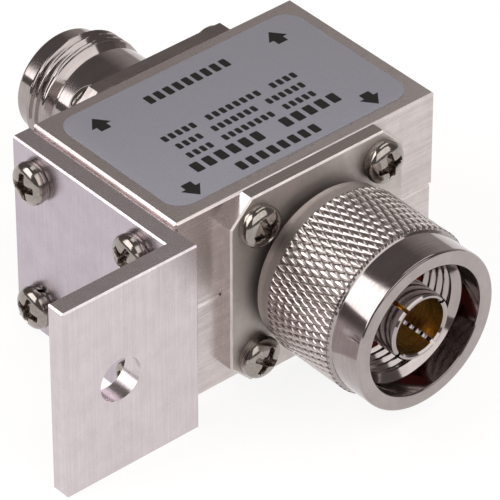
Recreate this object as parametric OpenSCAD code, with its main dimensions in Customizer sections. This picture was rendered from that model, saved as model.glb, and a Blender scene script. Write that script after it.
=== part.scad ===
// Coax lightning arrestor, in millimetres.
// A two-part metal housing carries a male and a female coaxial connector on one
// axis. Its chamber holds two coupling discs, the blocking disc between them and
// a gas tube, and an angle bracket is screwed to its side.
// The origin is the centre of the bracket's hole, on the outer face of its leg.
// +X runs along the coax axis towards the male connector, and +Z is up.

/* [Housing] */
// Length of the housing between the two connector flanges
body_l = 24.8; // [24.4:0.1:32]
// Width of the housing, from the bracket to the far side
body_w = 38.1; // [36:0.1:50]
// Height of the two halves together
body_h = 25.4; // [25:0.1:32]
// Chamfer on every edge of a half
body_edge = 0.25; // [0.1:0.05:0.5]
// How far the lower half's far side stands in from the upper half's
lower_inset = 0.25; // [0:0.05:0.5]
// Free length of the chamber behind the equipment line's disc
chamber_spare = 1; // [0.4:0.1:2]
// Wall between the chamber and a side of the housing
side_wall = 6.5; // [5.5:0.1:9]
// Roof above the chamber, and floor below it
roof = 4.2; // [3.5:0.1:4.6]
// Diameter of the passage from the chamber to a connector
passage_d = 8.4; // [6:0.1:9]

/* [Label] */
// Bare border of the housing's top around the label
label_margin = 1.7; // [1:0.1:4]
// Corner radius of the label
label_r = 2.5; // [0.5:0.1:4]
// Thickness of the label
label_t = 0.15; // [0.1:0.05:0.4]

/* [Bracket] */
// Thickness of the angle
bracket_t = 2.6; // [1.5:0.1:3.4]
// Height of the angle
bracket_h = 25.4; // [24:0.1:30]
// Width of the leg, from its end to the face that lies on the housing
leg_w = 18.8; // [16:0.1:26]
// Distance of the hole from the leg's end
hole_from_end = 7.7; // [5:0.1:9]
// Diameter of the mounting hole
hole_d = 5.6; // [3:0.1:7]
// How far the leg's outer face lies ahead of the housing's front
leg_ahead = 3.7; // [3.5:0.1:6]
// How far the plate runs past the housing's back
plate_over = 0.5; // [0:0.1:2]
// How far the bracket's mid-height lies below the coax axis
bracket_drop = 0.6; // [0:0.1:1.2]
// Chamfer on the angle's edges
bracket_edge = 0.2; // [0.1:0.05:0.5]
// Spacing of the four bracket screws, along and up
plate_pitch = 17.5; // [16:0.1:18]

/* [Connector flanges] */
// Side of a square flange
flange_w = 25.4; // [25:0.1:26]
// Thickness of a flange
flange_t = 1.75; // [1.5:0.05:3]
// Metal left between a screw hole and the flat across a flange's corner
corner_wall = 1.3; // [0.6:0.1:2]
// Chamfer around a flange's outer face
flange_edge = 0.2; // [0.1:0.05:0.4]
// Spacing of a flange's four screws
flange_pitch = 18.26; // [18.1:0.02:18.6]

/* [Male connector] */
// Radial gap between the neck that carries the nut and the nut's thread
neck_gap = 0.4; // [0.2:0.05:0.7]
// Length of the neck from the flange to the shoulder that the gasket rests on
neck_l = 8.4; // [7:0.1:9]
// Outer diameter of the outer contact sleeve
sleeve_d = 8.3; // [8:0.1:8.8]
// Wall of the outer contact sleeve
sleeve_wall = 0.65; // [0.4:0.05:0.8]
// Depth of the sleeve's seat behind the shoulder
sleeve_seat = 5; // [3:0.1:6]
// Chamfer on the sleeve's rim
sleeve_edge = 0.2; // [0.05:0.05:0.3]
// How far the sleeve's rim lies behind the nut's front
sleeve_set = 0.85; // [0.2:0.05:3]
// Length of the sleeve's slots
sleeve_slot_l = 6.2; // [3:0.1:7]
// Width of the sleeve's slots
sleeve_slot_w = 0.45; // [0.2:0.05:0.8]
// Turn of the sleeve's slots around the axis
sleeve_turn = 33; // [0:1:89]
// Diameter of the centre pin's tip
pin_d = 1.64; // [1.2:0.02:2.4]
// How far the pin's tip lies behind the nut's front
pin_set = 4.15; // [4.1:0.05:6]
// Height of the red gasket above its shoulder
gasket_t = 1.4; // [0.8:0.1:2]
// How far the gasket's edge stands in from the neck's
gasket_in = 0.05; // [0:0.05:0.5]
// Radial width of the gasket
gasket_w = 2; // [1:0.1:2.2]

/* [Coupling nut] */
// Length of the nut
nut_l = 16.8; // [15:0.1:20]
// Gap between the flange and the nut's back
nut_gap = 1.15; // [0.6:0.05:1.4]
// Radial gap between the plain rim at the nut's back and the flange screws' heads
head_gap = 0.36; // [0.1:0.02:0.6]
// Length of the plain rim
rim_l = 1.8; // [1.5:0.1:3]
// Diameter over the knurled band
knurl_d = 20.9; // [20.4:0.1:22]
// Length of the knurled band
knurl_l = 10; // [7:0.1:11]
// Number of knurl teeth around the nut
knurl_teeth = 68; // [48:1:80]
// Length of one diamond of the knurl, along the nut
knurl_pitch = 2.5; // [1.6:0.1:3]
// Depth of the knurl's grooves
knurl_depth = 0.34; // [0.2:0.02:0.4]
// Length of the plain land ahead of the knurl
land_l = 0.6; // [0.5:0.1:2]
// Diameter of the nut's plain nose
nose_d = 20; // [18:0.1:20.2]
// Chamfer on the nut's outer edges
nut_edge = 0.3; // [0.1:0.05:0.4]
// Diameter of the nut's mouth
mouth_d = 16.3; // [16:0.1:17]
// Depth of the plain mouth ahead of the thread
mouth_l = 3.1; // [2:0.1:4]
// Diameter of the nut's thread, at its crests
nut_thread_d = 14.7; // [14.4:0.1:15.2]
// Length of the lip that runs on the neck
lip_l = 2.5; // [2:0.1:3]
// Thickness of the retaining ring
ring_t = 0.8; // [0.5:0.1:1]
// Depth of the neck's groove for the retaining ring
ring_groove = 0.65; // [0.4:0.05:1]
// How far the retaining ring stands out of the neck
ring_reach = 0.55; // [0.3:0.05:0.8]

/* [Female connector] */
// Length of the barrel from its flange to its front rim
barrel_l = 17.2; // [15:0.1:20]
// Major diameter of the barrel's thread
thread_d = 15.875; // [15.7:0.005:16]
// Length of the thread, with its run-out and its lead cone
thread_l = 4.7; // [3.8:0.1:6]
// Diameter of the plain pilot ahead of the thread
pilot_d = 13.5; // [12:0.1:14]
// Length of the pilot
pilot_l = 2; // [1:0.1:3]
// Diameter of the plain neck
barrel_neck_d = 15.2; // [14:0.1:15.6]
// Diameter of the relief behind the thread
relief_d = 14; // [13:0.1:14.6]
// Length of the relief
relief_l = 0.7; // [0.4:0.1:1.5]
// Diameter of the socket's mouth
socket_d = 8.1; // [8:0.05:8.6]
// Depth of the socket's mouth
socket_l = 10.2; // [9:0.1:12]
// Chamfer on the barrel's front edges
barrel_edge = 0.5; // [0.2:0.1:0.8]
// Diameter of the socket contact
contact_d = 3.04; // [2.6:0.02:3.4]
// Bore of the socket contact
contact_bore = 1.7; // [1.2:0.02:2]
// Depth of the socket contact's bore
contact_bore_l = 5.5; // [4:0.1:7]
// How far the socket contact's front lies behind the barrel's rim
contact_set = 5.8; // [5.6:0.1:7.2]
// Length of the socket contact's slots
contact_slot_l = 4.5; // [2:0.1:5]
// Width of the socket contact's slots
contact_slot_w = 0.3; // [0.15:0.05:0.5]

/* [Insulators] */
// Diameter of the female insulator bead's bore in its body
bead_d = 7; // [6:0.1:7]
// How far the male bead's front lies behind the shoulder
male_bead_set = 1; // [0:0.1:3]
// How far the female bead's front lies behind the bottom of the mouth
female_bead_set = 0.6; // [0:0.1:3]

/* [Screws] */
// Diameter of the screws' shanks
screw_d = 2.84; // [2:0.02:3]
// How deep the screws bite into the housing
screw_bite = 4.4; // [3:0.1:4.6]
// Diameter of the screws' heads
head_d = 5.2; // [4.6:0.1:5.5]
// Height of the screws' heads
head_h = 1.5; // [1.2:0.05:1.6]
// Radius of the heads' rounded edge
head_round = 1.05; // [0.4:0.05:1.1]
// Length across the cross recess
recess_l = 3.3; // [2:0.1:3.4]
// Width of each arm of the cross recess
recess_w = 0.85; // [0.4:0.05:1]
// Depth of the cross recess
recess_depth = 1; // [0.5:0.05:1.1]
// Outer diameter of the lock washers
washer_d = 5.0; // [4.6:0.1:5.4]
// Thickness of the lock washers
washer_t = 0.6; // [0.5:0.05:0.8]
// Width of the split in the lock washers
washer_split = 0.5; // [0.2:0.05:0.8]

/* [Inner line] */
// Diameter of both inner conductors
line_d = 3; // [2:0.1:4]
// Diameter of the coupling discs
disc_d = 12; // [8:0.1:14]
// Thickness of the coupling discs
disc_t = 1.2; // [0.6:0.1:1.5]
// Thickness of the blocking disc between them
blocking_t = 0.5; // [0.2:0.05:0.9]
// How far the blocking disc stands out around the coupling discs
blocking_over = 0.6; // [0:0.1:1]
// Diameter of the gas tube's ceramic
tube_d = 7.2; // [5:0.1:7.4]
// Height of the gas tube with its electrodes
tube_h = 5.6; // [5:0.1:6]
// Thickness of the gas tube's electrodes
electrode_t = 0.7; // [0.4:0.05:1]
// How far the electrodes stand in from the ceramic's edge
electrode_inset = 0.2; // [0.1:0.05:0.5]
// Depth of the gas tube's seat in the chamber's floor
tube_seat = 0.5; // [0.2:0.05:0.7]
// Thickness of the contact spring's metal
spring_t = 0.3; // [0.2:0.05:0.5]

/* [Clearances] */
// Radial gap between the neck and the nut's lip
run_clear = 0.06; // [0.02:0.01:0.1]
// Radial gap between pieces pressed into each other
snug = 0.02; // [0.01:0.01:0.05]
// Radial gap around the screws in the flanges and the bracket
screw_clear = 0.2; // [0.1:0.05:0.3]
// Radial gap between the screws and the housing's tapped holes
tap_clear = 0.05; // [0.02:0.01:0.1]
// Extra depth of the tapped holes beyond the screws' ends
drill_extra = 0.5; // [0.2:0.1:0.6]
// Gap on each side of the retaining ring in the nut's groove
ring_play = 0.2; // [0.1:0.05:0.3]
// Gap around the gas tube in the chamber
tube_gap = 0.5; // [0.3:0.05:0.6]
// Gap between the contact spring and the inner conductor
contact_gap = 0.02; // [0.01:0.01:0.1]

/* [Hidden] */
$fn = 96;
cut = 1;

// The housing's place around the bracket's hole
body_front = -leg_ahead;
body_back = body_front - body_l;
body_mid_x = (body_front + body_back) / 2;
body_side = leg_w - hole_from_end;
coax_y = body_side + body_w / 2;
coax_z = bracket_drop;
plate_l = leg_ahead + body_l + plate_over;

// The chamber, its floor and what stands in it
chamber_l = chamber_spare + 2 * disc_t + blocking_t + tube_d + 2 * tube_gap;
chamber_w = body_w - 2 * side_wall;
chamber_h = body_h - 2 * roof;
chamber_front = body_mid_x + chamber_l / 2;
tube_x = chamber_front - tube_gap - tube_d / 2;
tube_base_z = coax_z - chamber_h / 2 - tube_seat;
electrode_d = tube_d - 2 * electrode_inset;
spring_h = coax_z - line_d / 2 - contact_gap - (tube_base_z + tube_h);
antenna_disc_x = tube_x - tube_d / 2 - tube_gap;
blocking_x = antenna_disc_x - disc_t;
equipment_disc_x = blocking_x - blocking_t;

// The connectors' outer faces, and stations measured from them
male_face = body_front + flange_t;
female_face = body_back - flange_t;
screw_hole_d = screw_d + 2 * screw_clear;
flange_corner = flange_w - flange_pitch - (screw_hole_d / 2 + corner_wall) * sqrt(2);
nut_front = nut_gap + nut_l;
neck_d = nut_thread_d - 2 * neck_gap;
gasket_d = neck_d - 2 * gasket_in;
sleeve_in_d = sleeve_d - 2 * sleeve_wall;
sleeve_back = neck_l - sleeve_seat;
sleeve_front = nut_front - sleeve_set;
pin_front = nut_front - pin_set;
pin_step = neck_l - male_bead_set + pin_d / 2;
lip_d = neck_d + 2 * run_clear;
ring_back = nut_gap + lip_l + ring_play;
ring_in_d = neck_d - 2 * ring_groove + 2 * snug;
ring_out_d = neck_d + 2 * ring_reach;
nut_groove_d = ring_out_d + 2 * ring_play;
nut_groove_l = ring_t + 2 * ring_play;
rim_d = flange_pitch * sqrt(2) - head_d - 2 * head_gap;
knurl_front = rim_l + knurl_l;
band_front = knurl_front + land_l;
contact_front = barrel_l - contact_set;
socket_back = barrel_l - socket_l;
female_bead_front = socket_back - female_bead_set;
relief_front = barrel_l - pilot_l - thread_l;
run_out_l = (thread_d - relief_d) / 2;
lead_l = (thread_d - pilot_d) / 2;

// Lengths of the screws under their heads
flange_shank = washer_t + flange_t + screw_bite;
plate_shank = washer_t + bracket_t + screw_bite;

// Puts children on the coax axis, looking along +X from a distance ahead of the male flange
module on_male(u) {
    translate([male_face + u, coax_y, coax_z]) rotate([0, 90, 0]) children();
}

// Puts children on the coax axis, looking along -X from a distance ahead of the female flange
module on_female(v) {
    translate([female_face - v, coax_y, coax_z]) rotate([0, -90, 0]) children();
}

// Puts children on the plate's outer face, looking away from the housing
module on_plate(out) {
    translate([body_mid_x, body_side - bracket_t - out, 0]) rotate([90, 0, 0]) children();
}

// Repeats children at the four corners of a square
module at_corners(pitch) {
    for (i = [-1, 1], j = [-1, 1])
        translate([i * pitch / 2, j * pitch / 2, 0]) children();
}

// A ring or tube standing on the XY plane
module ring(outer_d, inner_d, h) {
    difference() {
        cylinder(d = outer_d, h = h);
        translate([0, 0, -cut]) cylinder(d = inner_d, h = h + 2 * cut);
    }
}

// A rectangle with its lower left corner at the origin and its corners cut at 45 degrees
module cut_rectangle(a, b, c) {
    polygon([[c, 0], [a - c, 0], [a, c], [a, b - c], [a - c, b], [c, b], [0, b - c], [0, c]]);
}

// A block with every edge chamfered
module chamfered_block(l, w, h, c) {
    intersection() {
        linear_extrude(h) cut_rectangle(l, w, c);
        translate([0, w, 0]) rotate([90, 0, 0]) linear_extrude(w) cut_rectangle(l, h, c);
        rotate([90, 0, 90]) linear_extrude(l) cut_rectangle(w, h, c);
    }
}

// Radial slots through a tube's front end, four around
module cross_slots(front, slot_l, slot_w, across) {
    for (turn = [0, 90])
        rotate([0, 0, turn])
            translate([-across / 2, -slot_w / 2, front - slot_l])
                cube([across, slot_w, slot_l + cut]);
}

// A square plate centred on the XY plane's origin, with its upper edges chamfered
module edged_plate(w, t, c) {
    intersection() {
        translate([-w / 2, -w / 2, -t]) chamfered_block(w, w, 2 * t, c);
        translate([-w / 2, -w / 2, 0]) cube([w, w, t]);
    }
}

// A square flange standing on the XY plane, with its corners cut and its screw holes
module flange_plate() {
    difference() {
        intersection() {
            edged_plate(flange_w, flange_t, flange_edge);
            rotate([0, 0, 45])
                edged_plate((flange_w - flange_corner) * sqrt(2), flange_t, flange_edge);
        }
        at_corners(flange_pitch)
            translate([0, 0, -cut]) cylinder(d = screw_hole_d, h = flange_t + 2 * cut);
    }
}

// A pan-head screw with a cross recess, its head standing on the XY plane
module pan_screw(shank) {
    difference() {
        union() {
            rotate_extrude() {
                square([head_d / 2, head_h - head_round]);
                square([head_d / 2 - head_round, head_h]);
                intersection() {
                    translate([head_d / 2 - head_round, head_h - head_round]) circle(head_round);
                    square([head_d, head_h]);
                }
            }
            translate([0, 0, -shank]) cylinder(d = screw_d, h = shank);
        }
        cross_slots(head_h, recess_depth, recess_w, recess_l);
    }
}

// A split lock washer lying on the XY plane
module lock_washer() {
    difference() {
        ring(washer_d, screw_hole_d, washer_t);
        translate([0, -washer_split / 2, -cut]) cube([washer_d, washer_split, washer_t + 2 * cut]);
    }
}

// Tapped holes for both flanges and for the bracket
module tapped_holes() {
    tap_d = screw_d + 2 * tap_clear;
    depth = screw_bite + drill_extra;
    on_male(-flange_t - depth)
        at_corners(flange_pitch) cylinder(d = tap_d, h = depth + cut);
    on_female(-flange_t - depth)
        at_corners(flange_pitch) cylinder(d = tap_d, h = depth + cut);
    on_plate(-bracket_t - depth)
        at_corners(plate_pitch) cylinder(d = tap_d, h = depth + cut);
}

// What is cut out of both halves: chamber, line passage and tapped holes
module housing_cuts() {
    translate([chamber_front - chamber_l, coax_y - chamber_w / 2, coax_z - chamber_h / 2])
        cube([chamber_l, chamber_w, chamber_h]);
    translate([body_back - cut, coax_y, coax_z])
        rotate([0, 90, 0]) cylinder(d = passage_d, h = body_l + 2 * cut);
    tapped_holes();
}

// Lower half of the housing, with the gas tube's seat in its floor
module lower_housing() {
    color("lightgray") difference() {
        translate([body_back, body_side, coax_z - body_h / 2])
            chamfered_block(body_l, body_w - lower_inset, body_h / 2, body_edge);
        housing_cuts();
        translate([tube_x, coax_y, tube_base_z])
            cylinder(d = electrode_d + 2 * screw_clear, h = tube_seat + cut);
    }
}

// Upper half of the housing, which carries the label
module upper_housing() {
    color("lightgray") difference() {
        translate([body_back, body_side, coax_z])
            chamfered_block(body_l, body_w, body_h / 2, body_edge);
        housing_cuts();
    }
}

// Thin label plate with round corners on top of the housing
module label() {
    label_l = body_l - 2 * label_margin;
    label_w = body_w - 2 * label_margin;
    color("lightslategray")
        translate([body_back + label_margin, body_side + label_margin, coax_z + body_h / 2])
            linear_extrude(label_t) {
                translate([label_r, 0]) square([label_l - 2 * label_r, label_w]);
                translate([0, label_r]) square([label_l, label_w - 2 * label_r]);
                for (x = [label_r, label_l - label_r], y = [label_r, label_w - label_r])
                    translate([x, y]) circle(label_r);
            }
}

// Angle bracket with its mounting hole and its four screw holes
module mounting_bracket() {
    color("gainsboro") difference() {
        union() {
            translate([-plate_l, body_side - bracket_t, -bracket_h / 2])
                chamfered_block(plate_l, bracket_t, bracket_h, bracket_edge);
            translate([-bracket_t, body_side - leg_w, -bracket_h / 2])
                chamfered_block(bracket_t, leg_w, bracket_h, bracket_edge);
        }
        translate([-bracket_t - cut, 0, 0])
            rotate([0, 90, 0]) cylinder(d = hole_d, h = bracket_t + 2 * cut);
        on_plate(-bracket_t - cut)
            at_corners(plate_pitch)
                cylinder(d = screw_hole_d, h = bracket_t + 2 * cut);
    }
}

// Lock washers under the bracket screws
module bracket_lock_washers() {
    color("silver") on_plate(0) at_corners(plate_pitch) lock_washer();
}

// Screws that hold the bracket on the housing
module bracket_screws() {
    color("silver") on_plate(washer_t) at_corners(plate_pitch) pan_screw(plate_shank);
}

// Male connector's body: flange, neck with the ring's groove, and the sleeve's seat
module male_body() {
    color("silver") difference() {
        union() {
            on_male(-flange_t) flange_plate();
            on_male(0) cylinder(d = neck_d, h = neck_l);
        }
        on_male(-flange_t - cut)
            cylinder(d = sleeve_in_d, h = flange_t + neck_l + 2 * cut);
        on_male(sleeve_back)
            cylinder(d = sleeve_d + 2 * snug, h = sleeve_seat + cut);
        on_male(ring_back - snug)
            ring(neck_d + 2 * cut, neck_d - 2 * ring_groove, ring_t + 2 * snug);
    }
}

// Slotted outer contact sleeve, pressed into the male body
module male_outer_contact() {
    out_r = sleeve_d / 2;
    in_r = sleeve_in_d / 2;
    color("silver") on_male(0) difference() {
        rotate_extrude() polygon([
            [in_r, sleeve_back],
            [out_r, sleeve_back],
            [out_r, sleeve_front - sleeve_edge],
            [out_r - sleeve_edge, sleeve_front],
            [in_r + sleeve_edge, sleeve_front],
            [in_r, sleeve_front - sleeve_edge]
        ]);
        rotate([0, 0, sleeve_turn])
            cross_slots(sleeve_front, sleeve_slot_l, sleeve_slot_w, sleeve_d + cut);
    }
}

// Insulator bead that centres the male pin
module male_insulator() {
    color("white") on_male(-flange_t)
        ring(sleeve_in_d - 2 * snug, contact_d + 2 * snug, flange_t + neck_l - male_bead_set);
}

// Male centre pin with its rounded tip
module male_pin() {
    color("gold") {
        on_male(-flange_t) cylinder(d = contact_d, h = flange_t + pin_step);
        on_male(pin_step) cylinder(d = pin_d, h = pin_front - pin_step - pin_d / 2);
        on_male(pin_front - pin_d / 2) sphere(d = pin_d);
    }
}

// Gasket on the male body's shoulder
module male_gasket() {
    color("firebrick") on_male(neck_l) ring(gasket_d, gasket_d - 2 * gasket_w, gasket_t);
}

// Open retaining ring in the neck's groove, which keeps the nut on
module nut_retaining_ring() {
    color("dimgray") on_male(ring_back) difference() {
        ring(ring_out_d, ring_in_d, ring_t);
        translate([0, -ring_t, -cut]) cube([ring_out_d, 2 * ring_t, ring_t + 2 * cut]);
    }
}

// Diamond knurl around the Z axis: grooves cross at every other point of a grid, and the
// points between them are the teeth's crests. Each cell is folded along its groove.
module diamond_knurl(crest_r, root_r, teeth, rows, h) {
    columns = 2 * teeth;
    points = [
        for (row = [0:rows], column = [0:columns - 1])
            let (r = (row + column) % 2 == 0 ? root_r : crest_r, turn = column * 180 / teeth)
                [r * cos(turn), r * sin(turn), row * h / rows]
    ];
    foot = len(points);
    top = foot + 1;
    sides = [
        for (row = [0:rows - 1], column = [0:columns - 1], half = [0, 1])
            let (
                next = (column + 1) % columns,
                a = row * columns + column,
                b = row * columns + next,
                c = b + columns,
                d = a + columns
            )
                (row + column) % 2 == 0
                    ? (half == 0 ? [a, c, b] : [a, d, c])
                    : (half == 0 ? [a, d, b] : [b, d, c])
    ];
    ends = [
        for (column = [0:columns - 1], face = [0, 1])
            let (next = (column + 1) % columns)
                face == 0
                    ? [foot, column, next]
                    : [top, rows * columns + next, rows * columns + column]
    ];
    polyhedron(concat(points, [[0, 0, 0], [0, 0, h]]), concat(sides, ends));
}

// Coupling nut: turned outside with its knurled band, bored out from both ends
module coupling_nut() {
    rim_r = rim_d / 2;
    knurl_r = knurl_d / 2;
    nose_r = nose_d / 2;
    mouth_r = mouth_d / 2;
    thread_r = nut_thread_d / 2;
    groove_r = nut_groove_d / 2;
    lip_r = lip_d / 2;
    // The knurl runs on a little into the land, which is higher than its crests
    knurl_sink = land_l / 6;
    crest_r = knurl_r - knurl_depth / 10;
    rows = 2 * round(knurl_l / knurl_pitch);
    color("silver") on_male(nut_gap) difference() {
        union() {
            rotate_extrude() polygon([
                [0, 0],
                [rim_r - nut_edge, 0],
                [rim_r, nut_edge],
                [rim_r, knurl_front],
                [knurl_r, knurl_front],
                [knurl_r, band_front - nut_edge],
                [knurl_r - nut_edge, band_front],
                [nose_r, band_front],
                [nose_r, nut_l - nut_edge],
                [nose_r - nut_edge, nut_l],
                [0, nut_l]
            ]);
            translate([0, 0, rim_l])
                diamond_knurl(crest_r, knurl_r - knurl_depth, knurl_teeth, rows, knurl_l + knurl_sink);
        }
        rotate_extrude() polygon([
            [0, -cut],
            [lip_r, -cut],
            [lip_r, lip_l],
            [groove_r, lip_l],
            [groove_r, lip_l + nut_groove_l],
            [thread_r, lip_l + nut_groove_l],
            [thread_r, nut_l - mouth_l - (mouth_r - thread_r)],
            [mouth_r, nut_l - mouth_l],
            [mouth_r, nut_l + cut],
            [0, nut_l + cut]
        ]);
    }
}

// Lock washers under the male flange's screws
module male_lock_washers() {
    color("silver") on_male(0) at_corners(flange_pitch) lock_washer();
}

// Screws of the male flange
module male_flange_screws() {
    color("silver") on_male(washer_t) at_corners(flange_pitch) pan_screw(flange_shank);
}

// Female connector's body: flange, neck, relief and threaded barrel with its pilot and mouth
module female_body() {
    barrel_r = thread_d / 2;
    neck_r = barrel_neck_d / 2;
    relief_r = relief_d / 2;
    pilot_r = pilot_d / 2;
    mouth_r = socket_d / 2;
    bead_r = bead_d / 2;
    color("silver") {
        on_female(-flange_t) difference() {
            flange_plate();
            translate([0, 0, -cut]) cylinder(d = bead_d, h = flange_t + 2 * cut);
        }
        on_female(0) rotate_extrude() polygon([
            [bead_r, 0],
            [neck_r, 0],
            [neck_r, relief_front - relief_l],
            [relief_r, relief_front - relief_l],
            [relief_r, relief_front],
            [barrel_r, relief_front + run_out_l],
            [barrel_r, barrel_l - pilot_l - lead_l],
            [pilot_r, barrel_l - pilot_l],
            [pilot_r, barrel_l - barrel_edge],
            [pilot_r - barrel_edge, barrel_l],
            [mouth_r + barrel_edge, barrel_l],
            [mouth_r, barrel_l - barrel_edge],
            [mouth_r, socket_back],
            [bead_r, socket_back]
        ]);
    }
}

// Insulator bead that centres the socket contact
module female_insulator() {
    color("white") on_female(-flange_t)
        ring(bead_d - 2 * snug, contact_d + 2 * snug, flange_t + female_bead_front);
}

// Slotted socket contact of the female connector
module female_contact() {
    color("gold") difference() {
        on_female(-flange_t) cylinder(d = contact_d, h = flange_t + contact_front);
        on_female(contact_front - contact_bore_l)
            cylinder(d = contact_bore, h = contact_bore_l + cut);
        on_female(0) cross_slots(contact_front, contact_slot_l, contact_slot_w, contact_d + cut);
    }
}

// Lock washers under the female flange's screws
module female_lock_washers() {
    color("silver") on_female(0) at_corners(flange_pitch) lock_washer();
}

// Screws of the female flange
module female_flange_screws() {
    color("silver") on_female(washer_t) at_corners(flange_pitch) pan_screw(flange_shank);
}

// A disc on the coax axis, from one place along X towards -X
module axial_disc(x, d, t) {
    translate([x - t, coax_y, coax_z]) rotate([0, 90, 0]) cylinder(d = d, h = t);
}

// Inner conductor on the equipment side, with its coupling disc
module equipment_line() {
    color("peru") {
        axial_disc(equipment_disc_x, disc_d, disc_t);
        axial_disc(equipment_disc_x - disc_t, line_d, equipment_disc_x - disc_t - body_back);
    }
}

// Dielectric disc that blocks direct current between the coupling discs
module blocking_disc() {
    color("ivory") axial_disc(blocking_x, disc_d + 2 * blocking_over, blocking_t);
}

// Inner conductor on the antenna side, with its coupling disc
module antenna_line() {
    color("peru") {
        axial_disc(antenna_disc_x, disc_d, disc_t);
        axial_disc(body_front, line_d, body_front - antenna_disc_x);
    }
}

// Ceramic body of the gas tube
module gas_tube_ceramic() {
    color("seashell")
        translate([tube_x, coax_y, tube_base_z + electrode_t])
            cylinder(d = tube_d, h = tube_h - 2 * electrode_t);
}

// Both electrodes of the gas tube
module gas_tube_electrodes() {
    color("silver")
        for (z = [0, tube_h - electrode_t])
            translate([tube_x, coax_y, tube_base_z + z]) cylinder(d = electrode_d, h = electrode_t);
}

// Dished contact spring between the gas tube and the antenna line
module tube_spring() {
    foot_r = electrode_d / 2;
    top_r = line_d / 2;
    color("khaki")
        translate([tube_x, coax_y, tube_base_z + tube_h])
            rotate_extrude() polygon([
                [foot_r - spring_t, 0],
                [foot_r, 0],
                [top_r, spring_h],
                [top_r - spring_t, spring_h]
            ]);
}

lower_housing();
upper_housing();
label();
mounting_bracket();
bracket_lock_washers();
bracket_screws();
male_body();
male_outer_contact();
male_insulator();
male_pin();
male_gasket();
nut_retaining_ring();
coupling_nut();
male_lock_washers();
male_flange_screws();
female_body();
female_insulator();
female_contact();
female_lock_washers();
female_flange_screws();
equipment_line();
blocking_disc();
antenna_line();
gas_tube_ceramic();
gas_tube_electrodes();
tube_spring();
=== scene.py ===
"""The looks of a coax lightning arrestor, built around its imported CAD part.

The sections follow the assembly: housing, label, bracket, male connector, coupling nut,
female connector, screws, the inner line, and then the studio. Lengths are in millimetres
until a mesh is made, and metres after that.
"""
import math

import bmesh
import bpy
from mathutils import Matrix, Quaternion, Vector


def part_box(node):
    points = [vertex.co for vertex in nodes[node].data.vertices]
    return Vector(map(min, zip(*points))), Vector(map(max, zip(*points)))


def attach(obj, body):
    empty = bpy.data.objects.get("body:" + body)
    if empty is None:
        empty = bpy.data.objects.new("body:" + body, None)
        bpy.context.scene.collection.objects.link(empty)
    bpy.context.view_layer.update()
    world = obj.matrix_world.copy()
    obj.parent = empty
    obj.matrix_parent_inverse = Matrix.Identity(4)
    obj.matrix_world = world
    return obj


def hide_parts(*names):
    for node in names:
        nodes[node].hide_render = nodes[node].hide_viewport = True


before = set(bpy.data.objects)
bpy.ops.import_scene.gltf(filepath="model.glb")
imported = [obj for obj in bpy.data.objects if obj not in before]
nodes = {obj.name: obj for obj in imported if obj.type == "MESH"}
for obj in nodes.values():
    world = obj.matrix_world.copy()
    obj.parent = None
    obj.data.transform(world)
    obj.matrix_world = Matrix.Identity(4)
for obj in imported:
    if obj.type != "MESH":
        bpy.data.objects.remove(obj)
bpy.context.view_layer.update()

# Housing: two milled aluminium half boxes, plated bright white and clamped on the seam.
# The cutter left faint lines along their length, which the plating follows.
MM = 0.001
CLOUD_SIZE = 2.5
SHADE_FROM = 0.75
SHADE_TO = 1.25
GRAIN_HEIGHT = 0.02


def linear(code):
    """An sRGB hex colour as linear red, green, blue and alpha."""
    parts = [int(code[place:place + 2], 16) / 255 for place in (1, 3, 5)]
    return (*[p / 12.92 if p <= 0.04045 else ((p + 0.055) / 1.055) ** 2.4 for p in parts], 1.0)


def add(tree, kind, links, **settings):
    """Adds one node with its settings; links gives each socket a value or the socket that feeds it."""
    node = tree.nodes.new(kind)
    for name, value in settings.items():
        setattr(node, name, value)
    for name, value in links.items():
        if isinstance(value, bpy.types.NodeSocket):
            tree.links.new(value, node.inputs[name])
        else:
            node.inputs[name].default_value = value
    return node


def new_material(name):
    """An empty node material and its tree."""
    material = bpy.data.materials.new(name)
    material.use_nodes = True
    material.node_tree.nodes.clear()
    return material, material.node_tree


def plated_metal(name, light, dark, grain, smooth, rough, relief):
    """A plated metal whose grain, in millimetres along x, y and z, shades its colour, gloss and relief."""
    material, tree = new_material(name)
    place = add(tree, "ShaderNodeTexCoord", {})
    grain_map = add(tree, "ShaderNodeMapping", {
        "Vector": place.outputs["Object"], "Scale": [1 / (size * MM) for size in grain]})
    lines = add(tree, "ShaderNodeTexNoise", {
        "Vector": grain_map.outputs[0], "Scale": 1.0, "Detail": 3.0, "Roughness": 0.6})
    cloud = add(tree, "ShaderNodeTexNoise", {
        "Vector": place.outputs["Object"], "Scale": 1 / (CLOUD_SIZE * MM),
        "Detail": 4.0, "Roughness": 0.65})
    both = add(tree, "ShaderNodeMath", {0: lines.outputs[0], 1: cloud.outputs[0]}, operation="ADD")
    shade = add(tree, "ShaderNodeMapRange", {
        "Value": both.outputs[0], "From Min": SHADE_FROM, "From Max": SHADE_TO})
    colour = add(tree, "ShaderNodeMix", {
        0: shade.outputs[0], 6: linear(dark), 7: linear(light)}, data_type="RGBA")
    gloss = add(tree, "ShaderNodeMapRange", {
        "Value": both.outputs[0], "From Min": SHADE_FROM, "From Max": SHADE_TO,
        "To Min": rough, "To Max": smooth})
    bump = add(tree, "ShaderNodeBump", {
        "Height": lines.outputs[0], "Strength": relief, "Distance": GRAIN_HEIGHT * MM})
    metal = add(tree, "ShaderNodeBsdfPrincipled", {
        "Base Color": colour.outputs[2], "Metallic": 1.0, "Roughness": gloss.outputs[0],
        "Normal": bump.outputs[0]})
    add(tree, "ShaderNodeOutputMaterial", {"Surface": metal.outputs[0]})
    return material


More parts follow.
